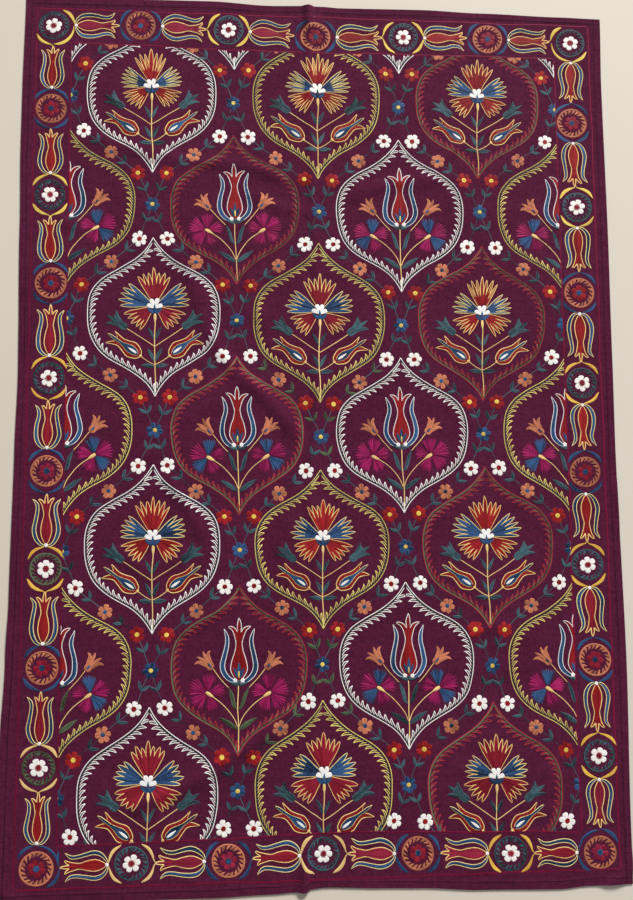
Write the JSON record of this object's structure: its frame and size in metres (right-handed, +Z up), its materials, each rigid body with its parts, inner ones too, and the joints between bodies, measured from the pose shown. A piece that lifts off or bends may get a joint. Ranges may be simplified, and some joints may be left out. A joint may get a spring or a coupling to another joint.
{
  "type": "suzani embroidered textile",
  "caption": "Flat embroidered cloth with a turned hem: ogee lattice of silk carnations and tulips inside a rosette and tulip border, on plum ground.",
  "frame": {"origin": "middle of the underside's bounding box, on the surface the cloth lies on", "axes": "+X across the cloth to its right edge, +Y along it to its top edge, +Z up out of the embroidered face"},
  "size_m": [1.592, 2.348, 0.0117],
  "materials": {
    "plum_cloth": "plain woven, matt, slightly slubbed"
  },
  "bodies": {
    "root": {"ground_cloth": "plum_cloth"}
  },
  "joints": []
}
